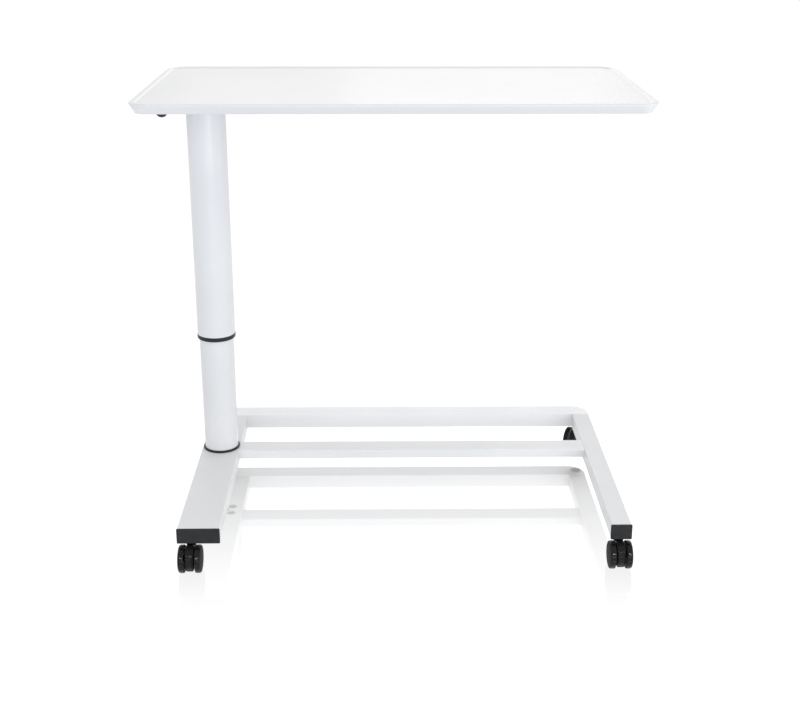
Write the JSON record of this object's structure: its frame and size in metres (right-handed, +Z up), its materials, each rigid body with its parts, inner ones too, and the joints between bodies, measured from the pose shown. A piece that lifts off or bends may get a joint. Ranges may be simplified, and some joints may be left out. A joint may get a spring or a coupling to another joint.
{
  "type": "overbed table",
  "caption": "Wheeled overbed table: flat top with a low rim on a telescoping round column at one side, over a low open base on swivel casters, with a height release lever.",
  "frame": {"origin": "on the floor, under the centre of the bounding box", "axes": "+Z up; +X along the table top, from the column side to the free side; +Y from the front, where the legs are open, to the back"},
  "size_m": [0.85, 0.575, 0.773],
  "materials": {
    "top_white": "smooth moulded plastic, satin gloss",
    "board": "raw fibreboard",
    "powder_white": "white powder coat, fine texture",
    "rail_white": "white powder coat, fine texture",
    "column_white": "white powder coat, satin",
    "cap_black": "moulded plastic, fine grain",
    "beam_plug_black": "moulded plastic",
    "collar_black": "moulded acetal",
    "grip_black": "soft-touch plastic",
    "beam_steel": "powder coat",
    "plain_steel": "zinc plated",
    "fastener_steel": "zinc plated",
    "rod_chrome": "hard chrome",
    "barrel_black": "black paint",
    "bush_nylon": "natural nylon",
    "key_brass": "plain",
    "socket_nylon": "black nylon",
    "stem_steel": "bright steel",
    "hood_black": "moulded nylon",
    "wheel_black": "moulded nylon"
  },
  "bodies": {
    "base": {"left_leg": "powder_white", "right_leg": "powder_white", "rear_rail": "rail_white", "mid_rail": "rail_white", "end_cap_left": "cap_black", "end_cap_right": "cap_black", "lower_tube": "column_white", "base_ring": "collar_black", "guide_bush": "bush_nylon", "column_foot": "plain_steel", "spreader_plate": "plain_steel", "foot_bolts": "fastener_steel", "spring_nut": "fastener_steel", "gas_barrel": "barrel_black", "socket_front_left": "socket_nylon", "socket_front_right": "socket_nylon", "socket_rear_left": "socket_nylon", "socket_rear_right": "socket_nylon"},
    "lift": {"top_shell": "top_white", "top_core": "board", "beam_front": "beam_steel", "beam_back": "beam_steel", "beam_plugs": "beam_plug_black", "head_plate": "beam_steel", "head_plate_bolts": "fastener_steel", "head_plate_nuts": "fastener_steel", "top_screws": "fastener_steel", "lever_bracket": "plain_steel", "bracket_screws": "fastener_steel", "lever_pivot": "fastener_steel", "upper_tube": "column_white", "collar_bushing": "collar_black", "guide_key": "key_brass", "gas_rod": "rod_chrome", "rod_nut": "fastener_steel"},
    "lever": {"lever_arm": "plain_steel", "lever_grip": "grip_black"},
    "release_pin": {"release_pin": "fastener_steel"},
    "swivel_front_left": {"hood_front_left": "hood_black", "stem_front_left": "stem_steel", "axle_front_left": "stem_steel"},
    "wheel_front_left_left": {"wheel_front_left_left": "wheel_black"},
    "wheel_front_left_right": {"wheel_front_left_right": "wheel_black"},
    "swivel_front_right": {"hood_front_right": "hood_black", "stem_front_right": "stem_steel", "axle_front_right": "stem_steel"},
    "wheel_front_right_left": {"wheel_front_right_left": "wheel_black"},
    "wheel_front_right_right": {"wheel_front_right_right": "wheel_black"},
    "swivel_rear_left": {"hood_rear_left": "hood_black", "stem_rear_left": "stem_steel", "axle_rear_left": "stem_steel"},
    "wheel_rear_left_left": {"wheel_rear_left_left": "wheel_black"},
    "wheel_rear_left_right": {"wheel_rear_left_right": "wheel_black"},
    "swivel_rear_right": {"hood_rear_right": "hood_black", "stem_rear_right": "stem_steel", "axle_rear_right": "stem_steel"},
    "wheel_rear_right_left": {"wheel_rear_right_left": "wheel_black"},
    "wheel_rear_right_right": {"wheel_rear_right_right": "wheel_black"}
  },
  "joints": [
    {"name": "height_slide", "type": "slide", "parent": "base", "child": "lift", "axis": [0, 0, 1], "range_m": [-0.2, 0.13]},
    {"name": "lever_hinge", "type": "hinge", "parent": "lift", "child": "lever", "pos_m": [-0.344, 0.0625, 0.7455], "axis": [0, 1, 0], "range_deg": [0, 9.5], "stiffness_Nm_per_rad": 1, "springref_deg": -5.73},
    {"name": "pin_slide", "type": "slide", "parent": "lift", "child": "release_pin", "axis": [0, 0, 1], "range_m": [-0.0026, 0]},
    {"name": "swivel_front_left_turn", "type": "hinge", "parent": "base", "child": "swivel_front_left", "pos_m": [-0.3455, -0.244, 0.05], "axis": [0, 0, 1], "continuous": true},
    {"name": "wheel_front_left_left_spin", "type": "hinge", "parent": "swivel_front_left", "child": "wheel_front_left_left", "pos_m": [-0.3601, -0.2635, 0.024], "axis": [1, 0, 0], "continuous": true},
    {"name": "wheel_front_left_right_spin", "type": "hinge", "parent": "swivel_front_left", "child": "wheel_front_left_right", "pos_m": [-0.3309, -0.2635, 0.024], "axis": [1, 0, 0], "continuous": true},
    {"name": "swivel_front_right_turn", "type": "hinge", "parent": "base", "child": "swivel_front_right", "pos_m": [0.38175, -0.238, 0.05], "axis": [0, 0, 1], "continuous": true},
    {"name": "wheel_front_right_left_spin", "type": "hinge", "parent": "swivel_front_right", "child": "wheel_front_right_left", "pos_m": [0.36715, -0.2575, 0.024], "axis": [1, 0, 0], "continuous": true},
    {"name": "wheel_front_right_right_spin", "type": "hinge", "parent": "swivel_front_right", "child": "wheel_front_right_right", "pos_m": [0.39635, -0.2575, 0.024], "axis": [1, 0, 0], "continuous": true},
    {"name": "swivel_rear_left_turn", "type": "hinge", "parent": "base", "child": "swivel_rear_left", "pos_m": [-0.3455, 0.2288, 0.05], "axis": [0, 0, 1], "continuous": true},
    {"name": "wheel_rear_left_left_spin", "type": "hinge", "parent": "swivel_rear_left", "child": "wheel_rear_left_left", "pos_m": [-0.3601, 0.2093, 0.024], "axis": [1, 0, 0], "continuous": true},
    {"name": "wheel_rear_left_right_spin", "type": "hinge", "parent": "swivel_rear_left", "child": "wheel_rear_left_right", "pos_m": [-0.3309, 0.2093, 0.024], "axis": [1, 0, 0], "continuous": true},
    {"name": "swivel_rear_right_turn", "type": "hinge", "parent": "base", "child": "swivel_rear_right", "pos_m": [0.38175, 0.2288, 0.05], "axis": [0, 0, 1], "continuous": true},
    {"name": "wheel_rear_right_left_spin", "type": "hinge", "parent": "swivel_rear_right", "child": "wheel_rear_right_left", "pos_m": [0.36028, 0.2173, 0.024], "axis": [0.9063, -0.4226, 0], "continuous": true},
    {"name": "wheel_rear_right_right_spin", "type": "hinge", "parent": "swivel_rear_right", "child": "wheel_rear_right_right", "pos_m": [0.38674, 0.20496, 0.024], "axis": [0.9063, -0.4226, 0], "continuous": true}
  ],
  "couplings": [
    {"joint": "pin_slide", "follows": "lever_hinge", "m_per_rad": -0.015}
  ]
}
